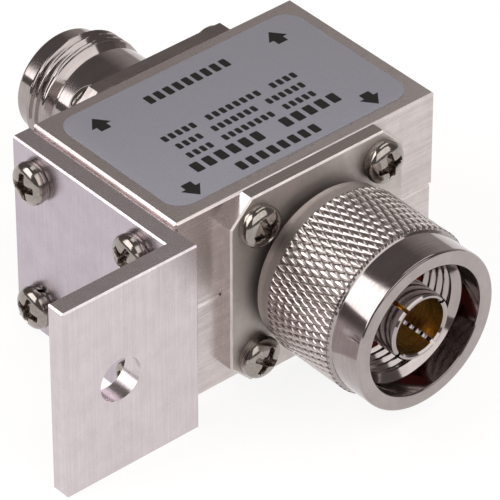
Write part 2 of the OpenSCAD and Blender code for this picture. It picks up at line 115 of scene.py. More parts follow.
# White bronze plating over milled aluminium: satin, slightly warm, with lines along the box.
housing_plating = plated_metal(
    "white_bronze_plated_aluminium", "#D4CAC8", "#C2B8B6",
    grain=(0.3, 9, 0.3), smooth=0.24, rough=0.34, relief=0.1)
for half in ("lower_housing", "upper_housing"):
    nodes[half].material_slots[0].material = housing_plating

# Label: a sheet of satin metallised film with rounded corners, stuck to the upper half.
# Its print is plain: block arrows to both ports and rows of blank word blocks.
LABEL_LOW = (-26.8, 12.8)
LABEL_HIGH = (-5.4, 47.5)
LABEL_CORNER = 2.5
CORNER_STEPS = 10
SMALL_CORNER_STEPS = 3
LABEL_BASE = 13.3
LABEL_TOP = 13.43
LABEL_EDGE = 0.05
LABEL_EDGE_MIDDLE = 0.015
PRINT_BASE = 13.42
PRINT_TOP = 13.445
SPECKLE_SIZE = 0.25
SPECKLE_HEIGHT = 0.01
INK_PATCH_SIZE = 0.6


def rounded_outline(low, high, radius, steps):
    """The points of a rounded rectangle in the xy plane, counter-clockwise."""
    centres = ((high[0] - radius, high[1] - radius, 0), (low[0] + radius, high[1] - radius, 90),
               (low[0] + radius, low[1] + radius, 180), (high[0] - radius, low[1] + radius, 270))
    points = []
    for x, y, start in centres:
        for step in range(steps + 1):
            angle = math.radians(start + 90 * step / steps)
            points.append((x + radius * math.cos(angle), y + radius * math.sin(angle)))
    return points


def band(shell, here, there):
    """Joins two rings of corners with a band of faces."""
    for step in range(len(here)):
        after = (step + 1) % len(here)
        shell.faces.new((here[step], here[after], there[after], there[step]))


def stack_of_loops(shell, loops):
    """Joins loops of points, given in millimetres from the bottom up, into a closed solid."""
    rings = [[shell.verts.new(Vector(point) * MM) for point in loop] for loop in loops]
    for lower, upper in zip(rings, rings[1:]):
        band(shell, lower, upper)
    shell.faces.new(list(reversed(rings[0])))
    shell.faces.new(rings[-1])


def mesh_of(shell, name, angle):
    """Turns a shell into a smooth mesh whose edges sharper than the angle stay crisp."""
    mesh = bpy.data.meshes.new(name)
    shell.to_mesh(mesh)
    shell.free()
    mesh.shade_smooth()
    mesh.set_sharp_from_angle(angle=math.radians(angle))
    return mesh


def placed(name, data):
    """An object of the given data, linked into the scene at the origin."""
    thing = bpy.data.objects.new(name, data)
    bpy.context.scene.collection.objects.link(thing)
    return thing


def stand_in(name, mesh, materials, body, node):
    """Makes a finished piece of a mesh; it rides on its body and stands for a CAD node."""
    piece = placed(name, mesh)
    mesh.materials.clear()
    for material in materials:
        mesh.materials.append(material)
    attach(piece, body)
    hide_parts(node)


# Metallised polyester film: a lavender grey with a very fine metallic speckle and a satin gloss.
label_film, film_tree = new_material("metallised_polyester_film")
film_place = add(film_tree, "ShaderNodeTexCoord", {})
film_speckle = add(film_tree, "ShaderNodeTexNoise", {
    "Vector": film_place.outputs["Object"], "Scale": 1 / (SPECKLE_SIZE * MM), "Detail": 2.0})
film_colour = add(film_tree, "ShaderNodeMix", {
    0: film_speckle.outputs[0], 6: linear("#8F8D96"), 7: linear("#9B99A2")}, data_type="RGBA")
film_bump = add(film_tree, "ShaderNodeBump", {
    "Height": film_speckle.outputs[0], "Strength": 0.05, "Distance": SPECKLE_HEIGHT * MM})
film = add(film_tree, "ShaderNodeBsdfPrincipled", {
    "Base Color": film_colour.outputs[2], "Metallic": 0.15, "Roughness": 0.55,
    "Normal": film_bump.outputs[0]})
add(film_tree, "ShaderNodeOutputMaterial", {"Surface": film.outputs[0]})

label_shell = bmesh.new()
label_loops = []
label_levels = ((LABEL_BASE, 0.0), (LABEL_TOP - LABEL_EDGE, 0.0),
                (LABEL_TOP - LABEL_EDGE_MIDDLE, LABEL_EDGE_MIDDLE), (LABEL_TOP, LABEL_EDGE))
for level, inset in label_levels:
    outline = rounded_outline(
        (LABEL_LOW[0] + inset, LABEL_LOW[1] + inset), (LABEL_HIGH[0] - inset, LABEL_HIGH[1] - inset),
        LABEL_CORNER - inset, CORNER_STEPS)
    label_loops.append([(x, y, level) for x, y in outline])
stack_of_loops(label_shell, label_loops)
stand_in("label_sheet", mesh_of(label_shell, "label_sheet", angle=60), [label_film],
         "arrestor", "label")

# Screen ink: near black, a little uneven and nearly matt.
print_ink, ink_tree = new_material("screen_printed_ink")
ink_place = add(ink_tree, "ShaderNodeTexCoord", {})
ink_patch = add(ink_tree, "ShaderNodeTexNoise", {
    "Vector": ink_place.outputs["Object"], "Scale": 1 / (INK_PATCH_SIZE * MM), "Detail": 3.0})
ink_colour = add(ink_tree, "ShaderNodeMix", {
    0: ink_patch.outputs[0], 6: linear("#141312"), 7: linear("#211F1E")}, data_type="RGBA")
ink = add(ink_tree, "ShaderNodeBsdfPrincipled", {
    "Base Color": ink_colour.outputs[2], "Roughness": 0.5, "Specular IOR Level": 0.25})
add(ink_tree, "ShaderNodeOutputMaterial", {"Surface": ink.outputs[0]})

ARROW_LENGTH = 2.6
ARROW_HEAD = 1.7
ARROW_WIDTH = 2.7
ARROW_TAIL = 1.4
# Each arrow: its tip along and across the part, and the way it points.
ARROWS = ((-24.8, 16.6, -1), (-24.8, 42.7, -1), (-6.05, 16.6, 1), (-6.05, 42.8, 1))
print_outlines = []
for tip_x, tip_y, way in ARROWS:
    neck_x = tip_x - way * ARROW_HEAD
    tail_x = tip_x - way * ARROW_LENGTH
    print_outlines.append([
        (tip_x, tip_y), (neck_x, tip_y + ARROW_WIDTH / 2), (neck_x, tip_y + ARROW_TAIL / 2),
        (tail_x, tip_y + ARROW_TAIL / 2), (tail_x, tip_y - ARROW_TAIL / 2),
        (neck_x, tip_y - ARROW_TAIL / 2), (neck_x, tip_y - ARROW_WIDTH / 2)])

# Each row of blocks: its place along the part, its start and end across it, the blocks' height and
# the number of blocks in each word.
ROWS = ((-7.2, 22.8, 35.0, 1.55, (8,)), (-10.2, 18.8, 40.6, 1.75, (6, 5)),
        (-12.4, 20.0, 38.9, 1.05, (4, 8, 5)), (-14.45, 20.2, 39.1, 1.05, (4, 7, 6)),
        (-16.5, 19.8, 39.7, 1.05, (5, 8, 4)), (-23.4, 23.2, 35.6, 1.55, (9,)))
WORD_GAP = 1.4
BLOCK_FROM = 0.14
BLOCK_TO = 0.80
BLOCK_CORNER = 0.16
for row_x, row_start, row_end, height, words in ROWS:
    pitch = (row_end - row_start) / (sum(words) + WORD_GAP * (len(words) - 1))
    at = row_start
    for word in words:
        for letter in range(word):
            print_outlines.append(rounded_outline(
                (row_x - height / 2, at + BLOCK_FROM * pitch), (row_x + height / 2, at + BLOCK_TO * pitch),
                BLOCK_CORNER, SMALL_CORNER_STEPS))
            at += pitch
        at += WORD_GAP * pitch
print_shell = bmesh.new()
for outline in print_outlines:
    stack_of_loops(print_shell, [[(x, y, level) for x, y in outline] for level in (PRINT_BASE, PRINT_TOP)])
bmesh.ops.recalc_face_normals(print_shell, faces=print_shell.faces)
label_print = placed("label_print", mesh_of(print_shell, "label_print", angle=30))
label_print.data.materials.append(print_ink)
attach(label_print, "arrestor")

# Bracket: an angle of aluminium bar with one bolt hole in its leg, screwed to the housing's side.
# It is brushed up and down and plated like the housing.
PLATE_FACE = 8.5
FACE_SLACK = 0.05
FACING = 0.9
WELD_GAP = 0.001


def smooth_copy(node, name):
    """A merged, smooth-shaded copy of a CAD node's mesh."""
    shell = bmesh.new()
    corners = [shell.verts.new(corner.co) for corner in nodes[node].data.vertices]
    for face in nodes[node].data.polygons:
        shell.faces.new([corners[place] for place in face.vertices])
    bmesh.ops.remove_doubles(shell, verts=shell.verts, dist=WELD_GAP * MM)
    return mesh_of(shell, name, angle=30)


# Plating over brushed bar: paler and a touch glossier than the milled halves.
bracket_plating = plated_metal(
    "white_bronze_plated_bar", "#D6CCCE", "#CAC0C3",
    grain=(0.25, 0.25, 14), smooth=0.22, rough=0.3, relief=0.06)
# The long plate's outer face gets a greyer, cooler copy of the plating: painted shade for the shadowed table
# that this face mirrors.
shaded_plate_plating = plated_metal(
    "white_bronze_plated_bar_painted_shade", "#C3B8C0", "#B8ADB5",
    grain=(0.25, 0.25, 14), smooth=0.24, rough=0.32, relief=0.06)
bracket = smooth_copy("mounting_bracket", "angle_bracket")
stand_in("angle_bracket", bracket, [bracket_plating, shaded_plate_plating],
         "arrestor", "mounting_bracket")
# The plate's outer face takes the greyer copy, which is painted shade.
for face in bracket.polygons:
    if face.normal.y < -FACING and abs(face.center.y / MM - PLATE_FACE) < FACE_SLACK:
        face.material_index = 1

# Male connector: a square flange with a round neck, turned from brass and plated, with a slotted
# contact sleeve, a gold pin on a white bead and a red gasket at the foot of the sleeve.
# White bronze on turned brass: a warm grey with fine rings around the axis.
connector_plating = plated_metal(
    "white_bronze_plated_brass", "#ADA4A2", "#9D9492",
    grain=(0.2, 12, 12), smooth=0.07, rough=0.13, relief=0.02)
# The flange was blasted before plating, so the same white bronze is satin there.
satin_plating = plated_metal(
    "blasted_white_bronze_plated_brass", "#D2C9C5", "#C4BBB7",
    grain=(0.3, 3, 3), smooth=0.5, rough=0.6, relief=0.1)
# Milled edges and rolled diamonds lie between the two in gloss, with soft but clear highlights; their paler
# colour is painted light, brightening them beyond the turned nose.
painted_bright_plating = plated_metal(
    "white_bronze_plated_brass_painted_bright", "#CDC4C1", "#BBB2AF",
    grain=(0.2, 2, 2), smooth=0.15, rough=0.23, relief=0.02)
# Gold plating: deep yellow, soft gloss, a little uneven.
gold_plating = plated_metal(
    "gold_plated_brass", "#E2B34C", "#C48F2E",
    grain=(0.3, 6, 6), smooth=0.2, rough=0.3, relief=0.1)
# Gold flash on the sleeve's inside: so thin that the white metal below pales it.
gold_flash = plated_metal(
    "gold_flashed_brass", "#E4CE9C", "#CCB584",
    grain=(0.3, 6, 6), smooth=0.22, rough=0.32, relief=0.1)
male_flange = smooth_copy("male_body", "male_flange_body")
stand_in("male_flange_body", male_flange, [connector_plating, satin_plating, painted_bright_plating],
         "arrestor", "male_body")
AXIS_Y = 30.15
AXIS_Z = 0.6
FLANGE_SIDE = 11.5


def off_axis(point):
    """How far a point of a mesh lies from the coax axis, in millimetres."""
    return math.hypot(point.y / MM - AXIS_Y, point.z / MM - AXIS_Z)


# The front face takes the satin copy; the milled sides take the paler copy, whose paleness is painted light.
for face in male_flange.polygons:
    if face.normal.x > FACING:
        face.material_index = 1
    elif off_axis(face.center) > FLANGE_SIDE:
        face.material_index = 2

SLEEVE_BORE = 3.55
SLEEVE_SIDEWAYS = 0.5
sleeve = smooth_copy("male_outer_contact", "contact_sleeve")
stand_in("contact_sleeve", sleeve, [connector_plating, gold_flash],
         "arrestor", "male_outer_contact")
for face in sleeve.polygons:
    if off_axis(face.center) < SLEEVE_BORE and abs(face.normal.x) < SLEEVE_SIDEWAYS:
        face.material_index = 1
stand_in("centre_pin", smooth_copy("male_pin", "centre_pin"), [gold_plating],
         "arrestor", "male_pin")


def soft_solid(name, light, dark, patch, rough, relief):
    """A moulded or turned non-metal with soft patches of the given size in millimetres."""
    material, tree = new_material(name)
    place = add(tree, "ShaderNodeTexCoord", {})
    patches = add(tree, "ShaderNodeTexNoise", {
        "Vector": place.outputs["Object"], "Scale": 1 / (patch * MM), "Detail": 4.0})
    colour = add(tree, "ShaderNodeMix", {
        0: patches.outputs[0], 6: linear(dark), 7: linear(light)}, data_type="RGBA")
    bump = add(tree, "ShaderNodeBump", {
        "Height": patches.outputs[0], "Strength": relief, "Distance": GRAIN_HEIGHT * MM})
    solid = add(tree, "ShaderNodeBsdfPrincipled", {
        "Base Color": colour.outputs[2], "Roughness": rough, "Normal": bump.outputs[0]})
    add(tree, "ShaderNodeOutputMaterial", {"Surface": solid.outputs[0]})
    return material


# Silicone rubber: a dull brick red. Fluoropolymer: waxy white.
red_silicone = soft_solid(
    "red_silicone_rubber", "#8E2A20", "#6E1C15", patch=0.5, rough=0.55, relief=0.2)
white_fluoropolymer = soft_solid(
    "white_fluoropolymer", "#EFEDE8", "#E2E0DA", patch=0.8, rough=0.4, relief=0.1)
stand_in("gasket_ring", smooth_copy("male_gasket", "gasket_ring"), [red_silicone],
         "arrestor", "male_gasket")
stand_in("male_bead", smooth_copy("male_insulator", "male_bead"), [white_fluoropolymer],
         "arrestor", "male_insulator")

# Coupling nut: turned and plated brass with a diamond knurl, a plain rim behind it and a smooth nose.
# It turns freely on the neck, and draws the mating barrel in by its inner thread.
NUT_REAR = -0.8
NUT_LENGTH = 16.8
KNURL_TEETH = 68
KNURL_START = 2.3
KNURL_END = 12.0
KNURL_DIAMONDS = 4
KNURL_STEPS = 10
KNURL_FLATNESS = 3.2
KNURL_ROOT = 10.27
KNURL_DEPTH = 0.155
# Corners this close are welded where the knurl meets rim and land; the slack parts its faces from theirs.
KNURL_SEAM = 0.002
KNURL_SLACK = 0.01
RIM_R = 10.0
RIM_FRONT_R = 9.8
RIM_EDGE = 0.2
RIM_WALL = 0.5
LAND_R = 10.42
LAND_END = 12.42
LAND_EDGE = 0.04
NOSE_R = 10.0
NOSE_EDGE = 0.32
NUT_MOUTH_R = 8.15
MOUTH_BOTTOM = 13.7
MOUTH_EDGE = 0.25
MOUTH_BOTTOM_EDGE = 0.1
LEAD_END = 12.95
LEAD_END_R = 7.4
GROOVE_R = 7.7
GROOVE_REAR = 2.5
LIP_R = 7.01
LIP_EDGE = 0.15
THREAD_PITCH = 1.058
NUT_THREAD_FROM = 3.7
NUT_THREAD_TO = 12.9
NUT_THREAD_R = 7.35
NUT_THREAD_DEPTH = 0.5
THREAD_STEPS = 16
THREAD_FADE = 0.4
THREAD_SHARPNESS = 0.8
ARC_STEPS = 4
FLAT_GUARD = 0.06


def thread_groove(x, angle, low, high):
    """How deep a right-hand thread is at a place, from 0 on the crest to 1 at the root."""
    turn = x / THREAD_PITCH - angle / math.tau
    fade = min(1.0, max(0.0, min(x - low, high - x) / (THREAD_FADE * THREAD_PITCH)))
    return fade * (0.5 - 0.5 * math.cos(math.tau * turn)) ** THREAD_SHARPNESS


def spaced(low, high, step):
    """Evenly spaced values from low to high, both included."""
    count = max(1, round(abs(high - low) / step))
    return [low + (high - low) * place / count for place in range(count + 1)]


def rounded_profile(corners):
    """The points of a profile whose corners, each (x, radius, rounding), become small arcs.
    A point close to each end of an arc keeps the flats beside it flat."""
    points = []
    for place, (x, r, rounding) in enumerate(corners):
        corner = Vector((x, r))
        if not rounding:
            points.append((x, r))
            continue
        back = (Vector(corners[place - 1][:2]) - corner).normalized()
        ahead = (Vector(corners[place + 1][:2]) - corner).normalized()
        half = back.angle(ahead) / 2
        start = corner + back * rounding / math.tan(half)
        end = corner + ahead * rounding / math.tan(half)
        centre = corner + (back + ahead).normalized() * rounding / math.sin(half)
        points.append(tuple(start + back * FLAT_GUARD))
        for step in range(ARC_STEPS + 1):
            spoke = (start - centre).lerp(end - centre, step / ARC_STEPS).normalized()
            points.append(tuple(centre + spoke * rounding))
        points.append(tuple(end + ahead * FLAT_GUARD))
    return points


def turned(shell, profile, segments, radius):
    """Turns a profile of (x, radius) points round the coax axis; returns its rings of corners.
    The profile runs forwards outside and backwards inside, so that faces point outwards."""
    rings = []
    for x, r in profile:
        ring = []
        for step in range(segments):
            angle = math.tau * step / segments
            reach = radius(x, r, angle)
            ring.append(shell.verts.new((
                x * MM, (AXIS_Y + reach * math.cos(angle)) * MM, (AXIS_Z + reach * math.sin(angle)) * MM)))
        rings.append(ring)
    for here, there in zip(rings, rings[1:]):
        band(shell, here, there)
    return rings


def nut_bore(x, r, angle):
    """The nut's radius at a place: its thread is cut into the plain bore."""
    if NUT_THREAD_FROM < x - NUT_REAR < NUT_THREAD_TO and r == NUT_THREAD_R:
        return r + NUT_THREAD_DEPTH * thread_groove(x - NUT_REAR, angle, NUT_THREAD_FROM, NUT_THREAD_TO)
    return r


nut_profile = rounded_profile((
    (KNURL_END, LAND_R, 0), (LAND_END, NOSE_R, LAND_EDGE), (NUT_LENGTH, NOSE_R, NOSE_EDGE),
    (NUT_LENGTH, NUT_MOUTH_R, MOUTH_EDGE), (MOUTH_BOTTOM, NUT_MOUTH_R, MOUTH_BOTTOM_EDGE),
    (LEAD_END, LEAD_END_R, 0)))
for x in spaced(NUT_THREAD_TO, NUT_THREAD_FROM, THREAD_PITCH / THREAD_STEPS):
    nut_profile.append((x, NUT_THREAD_R))
nut_profile += rounded_profile((
    (NUT_THREAD_FROM, GROOVE_R, 0), (GROOVE_REAR, GROOVE_R, 0), (GROOVE_REAR, LIP_R, 0),
    (0.0, LIP_R, LIP_EDGE), (0.0, RIM_R, RIM_EDGE), (KNURL_START, RIM_FRONT_R, 0)))
nut_shell = bmesh.new()
turned(nut_shell, [(x + NUT_REAR, r) for x, r in nut_profile], 2 * KNURL_TEETH, nut_bore)
nut = placed("knurled_nut", mesh_of(nut_shell, "knurled_nut", angle=30))

# The knurl: a sheet of small steps wrapped round the nut, into which two families of grooves are
# rolled; pillow-topped diamonds stay between them. Its end rows close it onto rim and land.
knurl_tree = bpy.data.node_groups.new("diamond_knurl", "GeometryNodeTree")
knurl_sizes = {"Teeth": KNURL_TEETH, "Diamonds": KNURL_DIAMONDS, "Steps": KNURL_STEPS,
               "Flatness": KNURL_FLATNESS, "Start": (NUT_REAR + KNURL_START) * MM,
               "Length": (KNURL_END - KNURL_START) * MM, "Root": KNURL_ROOT * MM, "Depth": KNURL_DEPTH * MM,
               "Rear Radius": RIM_FRONT_R * MM, "Front Radius": LAND_R * MM, "Axis Y": AXIS_Y * MM,
               "Axis Z": AXIS_Z * MM, "Material": connector_plating}
knurl_tree.interface.new_socket("Geometry", in_out="INPUT", socket_type="NodeSocketGeometry")
for name, value in knurl_sizes.items():
    kind = {int: "NodeSocketInt", float: "NodeSocketFloat"}.get(type(value), "NodeSocketMaterial")
    knurl_tree.interface.new_socket(name, in_out="INPUT", socket_type=kind)
knurl_tree.interface.new_socket("Geometry", in_out="OUTPUT", socket_type="NodeSocketGeometry")
given = add(knurl_tree, "NodeGroupInput", {}).outputs
# The grid: the same number of steps across and along each diamond, and one row more at each end.
across = add(knurl_tree, "ShaderNodeMath", {
    0: given["Teeth"], 1: given["Steps"]}, operation="MULTIPLY").outputs[0]
knurl_rows = add(knurl_tree, "ShaderNodeMath", {
    0: given["Diamonds"], 1: given["Steps"]}, operation="MULTIPLY").outputs[0]
along = add(knurl_tree, "ShaderNodeMath", {0: knurl_rows, 1: 2.0}, operation="ADD").outputs[0]
grid_columns = add(knurl_tree, "ShaderNodeMath", {0: across, 1: 1.0}, operation="ADD").outputs[0]
grid_rows = add(knurl_tree, "ShaderNodeMath", {0: along, 1: 1.0}, operation="ADD").outputs[0]
knurl_grid = add(knurl_tree, "GeometryNodeMeshGrid", {
    "Size X": across, "Size Y": along, "Vertices X": grid_columns, "Vertices Y": grid_rows})
here = add(knurl_tree, "GeometryNodeInputPosition", {}).outputs[0]
spot = add(knurl_tree, "ShaderNodeSeparateXYZ", {"Vector": here}).outputs
column = add(knurl_tree, "ShaderNodeMath", {
    0: across, 1: 0.5, 2: spot["X"]}, operation="MULTIPLY_ADD").outputs[0]
grid_row = add(knurl_tree, "ShaderNodeMath", {
    0: along, 1: 0.5, 2: spot["Y"]}, operation="MULTIPLY_ADD").outputs[0]
row = add(knurl_tree, "ShaderNodeMath", {0: grid_row, 1: 1.0}, operation="SUBTRACT").outputs[0]
inner_row = add(knurl_tree, "ShaderNodeClamp", {"Value": row, "Min": 0.0, "Max": knurl_rows}).outputs[0]
# The radius: half waves across both families of grooves, whose product is flattened at the top.
rising = add(knurl_tree, "ShaderNodeMath", {0: column, 1: inner_row}, operation="ADD").outputs[0]
falling = add(knurl_tree, "ShaderNodeMath", {0: column, 1: inner_row}, operation="SUBTRACT").outputs[0]
step_angle = add(knurl_tree, "ShaderNodeMath", {
    0: math.pi, 1: given["Steps"]}, operation="DIVIDE").outputs[0]
waves = []
for steps_away in (rising, falling):
    angle = add(knurl_tree, "ShaderNodeMath", {0: steps_away, 1: step_angle}, operation="MULTIPLY").outputs[0]
    wave = add(knurl_tree, "ShaderNodeMath", {0: angle}, operation="SINE").outputs[0]
    waves.append(add(knurl_tree, "ShaderNodeMath", {0: wave}, operation="ABSOLUTE").outputs[0])
pillow = add(knurl_tree, "ShaderNodeMath", {0: waves[0], 1: waves[1]}, operation="MULTIPLY").outputs[0]
below = add(knurl_tree, "ShaderNodeMath", {0: 1.0, 1: pillow}, operation="SUBTRACT").outputs[0]
flattened = add(knurl_tree, "ShaderNodeMath", {
    0: below, 1: given["Flatness"]}, operation="POWER").outputs[0]
height = add(knurl_tree, "ShaderNodeMath", {0: 1.0, 1: flattened}, operation="SUBTRACT").outputs[0]
knurl_r = add(knurl_tree, "ShaderNodeMath", {
    0: height, 1: given["Depth"], 2: given["Root"]}, operation="MULTIPLY_ADD").outputs[0]
# The end rows lie on the rim and the land.
last_row = add(knurl_tree, "ShaderNodeMath", {0: knurl_rows, 1: 0.5}, operation="ADD").outputs[0]
behind = add(knurl_tree, "ShaderNodeMath", {0: row, 1: -0.5}, operation="LESS_THAN").outputs[0]
before = add(knurl_tree, "ShaderNodeMath", {0: row, 1: last_row}, operation="GREATER_THAN").outputs[0]
with_rear = add(knurl_tree, "ShaderNodeMix", {0: behind, 2: knurl_r, 3: given["Rear Radius"]}).outputs[0]
with_front = add(knurl_tree, "ShaderNodeMix", {
    0: before, 2: with_rear, 3: given["Front Radius"]}).outputs[0]
# The wrapping: columns become angles round the axis, and rows become places along it.
part_turn = add(knurl_tree, "ShaderNodeMath", {0: column, 1: across}, operation="DIVIDE").outputs[0]
turn = add(knurl_tree, "ShaderNodeMath", {0: part_turn, 1: math.tau}, operation="MULTIPLY").outputs[0]
cosine = add(knurl_tree, "ShaderNodeMath", {0: turn}, operation="COSINE").outputs[0]
sine = add(knurl_tree, "ShaderNodeMath", {0: turn}, operation="SINE").outputs[0]
part_way = add(knurl_tree, "ShaderNodeMath", {0: inner_row, 1: knurl_rows}, operation="DIVIDE").outputs[0]
knurl_x = add(knurl_tree, "ShaderNodeMath", {
    0: part_way, 1: given["Length"], 2: given["Start"]}, operation="MULTIPLY_ADD").outputs[0]
knurl_y = add(knurl_tree, "ShaderNodeMath", {
    0: cosine, 1: with_front, 2: given["Axis Y"]}, operation="MULTIPLY_ADD").outputs[0]
knurl_z = add(knurl_tree, "ShaderNodeMath", {
    0: sine, 1: with_front, 2: given["Axis Z"]}, operation="MULTIPLY_ADD").outputs[0]
wrapped = add(knurl_tree, "ShaderNodeCombineXYZ", {"X": knurl_x, "Y": knurl_y, "Z": knurl_z})
sheet = add(knurl_tree, "GeometryNodeSetPosition", {
    "Geometry": knurl_grid.outputs["Mesh"], "Position": wrapped.outputs[0]})
facets = add(knurl_tree, "GeometryNodeTriangulate", {"Mesh": sheet.outputs[0]})
facets.quad_method = "SHORTEST_DIAGONAL"
smooth = add(knurl_tree, "GeometryNodeSetShadeSmooth", {
    "Geometry": facets.outputs[0], "Shade Smooth": True})
joined = add(knurl_tree, "GeometryNodeJoinGeometry", {})
knurl_tree.links.new(smooth.outputs[0], joined.inputs[0])
knurl_tree.links.new(given["Geometry"], joined.inputs[0])
closed_up = add(knurl_tree, "GeometryNodeMergeByDistance", {
    "Geometry": joined.outputs[0], "Distance": KNURL_SEAM * MM})
solid = add(knurl_tree, "GeometryNodeRealizeInstances", {"Geometry": closed_up.outputs[0]})
dressed = add(knurl_tree, "GeometryNodeSetMaterial", {
    "Geometry": solid.outputs[0], "Material": given["Material"]})
add(knurl_tree, "NodeGroupOutput", {0: dressed.outputs[0]})


def baked(piece, tree, sizes, angle):
    """Runs a tree of nodes on a piece with the given sizes and keeps the result as its plain mesh."""
    modifier = piece.modifiers.new(tree.name, "NODES")
    modifier.node_group = tree
    for socket in tree.interface.items_tree:
        if socket.in_out == "INPUT" and socket.name in sizes:
            modifier[socket.identifier] = sizes[socket.name]
    bpy.context.view_layer.update()
    seen = piece.evaluated_get(bpy.context.evaluated_depsgraph_get())
    mesh = bpy.data.meshes.new_from_object(seen)
    piece.modifiers.clear()
    piece.data = mesh
    mesh.materials.clear()
    mesh.materials.append(sizes["Material"])
    for face in mesh.polygons:
        face.material_index = 0
    mesh.set_sharp_from_angle(angle=math.radians(angle))


baked(nut, knurl_tree, knurl_sizes, angle=24)
# The rolled diamonds are duller than the turned nose and painted paler, a painted brightening for the light
# their facets catch; the rim behind them is satin.
nut.data.materials.append(painted_bright_plating)
nut.data.materials.append(satin_plating)
for face in nut.data.polygons:
    ahead = face.center.x / MM - NUT_REAR
    if off_axis(face.center) > RIM_FRONT_R - RIM_WALL and ahead < KNURL_END:
        face.material_index = 1 if ahead > KNURL_START - KNURL_SLACK else 2
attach(nut, "nut")
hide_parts("coupling_nut")

# Retaining ring: a split bronze wire ring that holds the nut on its neck, hidden inside the nut.
# It snaps into a groove of the neck and runs in a wider groove of the nut.
# Spring bronze: plain, brownish yellow, drawn and bent without polish.
spring_bronze = plated_metal(
    "plain_spring_bronze", "#B58A4E", "#9A7440",
    grain=(0.2, 5, 5), smooth=0.25, rough=0.35, relief=0.1)
stand_in("retaining_ring", smooth_copy("nut_retaining_ring", "retaining_ring"), [spring_bronze],
         "arrestor", "nut_retaining_ring")

# Female connector: a square flange and a threaded barrel with a plain pilot, in one piece of plated
# brass. A white bead in its mouth carries the gold socket contact.
FEMALE_FACE = -30.25
FLANGE_BACK = -28.5
FLANGE_HALF = 12.7
FLANGE_CORNER = 3.0
FLANGE_EDGE = 0.2
# How much shorter a side of the eight-sided edge gets for each bit that it is set in.
FLANGE_EDGE_SHARE = 0.414
NECK_R = 7.6
NECK_END = 9.8
NECK_EDGE = 0.12
RELIEF_R = 7.0
RELIEF_END = 10.5
BARREL_R = 7.9375
BARREL_END = 17.2
PILOT_R = 6.75
PILOT_START = 15.2
PILOT_EDGE = 0.35
SOCKET_R = 4.05
SOCKET_BOTTOM = 7.0
SOCKET_EDGE = 0.4
BARREL_THREAD_DEPTH = 0.55
BARREL_THREAD_FROM = 11.25
BARREL_THREAD_TO = 15.3
BARREL_SEGMENTS = 128
bead_low, bead_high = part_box("female_insulator")
bead_r = (bead_high.y - bead_low.y) / (2 * MM)


def barrel_wall(x, r, angle):
    """The barrel's radius at a place: its thread is cut into the plain barrel and its lead cone."""
    ahead = FEMALE_FACE - x
    if r > RELIEF_R and BARREL_THREAD_FROM < ahead < BARREL_THREAD_TO:
        low, high = FEMALE_FACE - BARREL_THREAD_TO, FEMALE_FACE - BARREL_THREAD_FROM
        return min(r, BARREL_R - BARREL_THREAD_DEPTH * thread_groove(x, angle, low, high))
    return r


def flange_outline(x, inset):
    """The corners of the square flange with its cut corners, at x, set in by inset."""
    half = FLANGE_HALF - inset
    side = FLANGE_HALF - FLANGE_CORNER - FLANGE_EDGE_SHARE * inset
    corners = ((half, -side), (half, side), (side, half), (-side, half),
               (-half, side), (-half, -side), (-side, -half), (side, -half))
    return [(x, AXIS_Y + y, AXIS_Z + z) for y, z in corners]


barrel_profile = rounded_profile((
    (0.0, bead_r, 0), (SOCKET_BOTTOM, bead_r, 0), (SOCKET_BOTTOM, SOCKET_R, 0),
    (BARREL_END, SOCKET_R, SOCKET_EDGE), (BARREL_END, PILOT_R, PILOT_EDGE), (PILOT_START, PILOT_R, 0)))
for x in spaced(PILOT_START, BARREL_THREAD_FROM, THREAD_PITCH / THREAD_STEPS)[1:]:
    barrel_profile.append((x, min(BARREL_R, PILOT_R + PILOT_START - x, RELIEF_R + x - RELIEF_END)))
barrel_profile += rounded_profile((
    (RELIEF_END, RELIEF_R, 0), (NECK_END, RELIEF_R, 0), (NECK_END, NECK_R, NECK_EDGE), (0.0, NECK_R, 0)))
barrel_shell = bmesh.new()
barrel_rings = turned(
    barrel_shell, [(FEMALE_FACE - x, r) for x, r in barrel_profile], BARREL_SEGMENTS, barrel_wall)
flange_loops = [flange_outline(FLANGE_BACK, 0.0), flange_outline(FEMALE_FACE + FLANGE_EDGE, 0.0),
                flange_outline(FEMALE_FACE, FLANGE_EDGE)]
flange_rings = [[barrel_shell.verts.new(Vector(point) * MM) for point in loop] for loop in flange_loops]
for lower, upper in zip(flange_rings, flange_rings[1:]):
    band(barrel_shell, lower, upper)
back_ring = []
for corner in barrel_rings[0]:
    back_ring.append(barrel_shell.verts.new((FLANGE_BACK * MM, corner.co.y, corner.co.z)))
band(barrel_shell, back_ring, barrel_rings[0])
for hole, outline in ((barrel_rings[-1], flange_rings[-1]), (back_ring, flange_rings[0])):
    rim = []
    for ring in (hole, outline):
        for step in range(len(ring)):
            rim.append(barrel_shell.edges.get((ring[step], ring[(step + 1) % len(ring)])))
    bmesh.ops.triangle_fill(barrel_shell, edges=rim, use_beauty=True)
bmesh.ops.recalc_face_normals(barrel_shell, faces=barrel_shell.faces)
stand_in("female_barrel", mesh_of(barrel_shell, "female_barrel", angle=30), [connector_plating],
         "arrestor", "female_body")
stand_in("female_bead", smooth_copy("female_insulator", "female_bead"), [white_fluoropolymer],
         "arrestor", "female_insulator")
stand_in("socket_contact", smooth_copy("female_contact", "socket_contact"), [gold_plating],
         "arrestor", "female_contact")

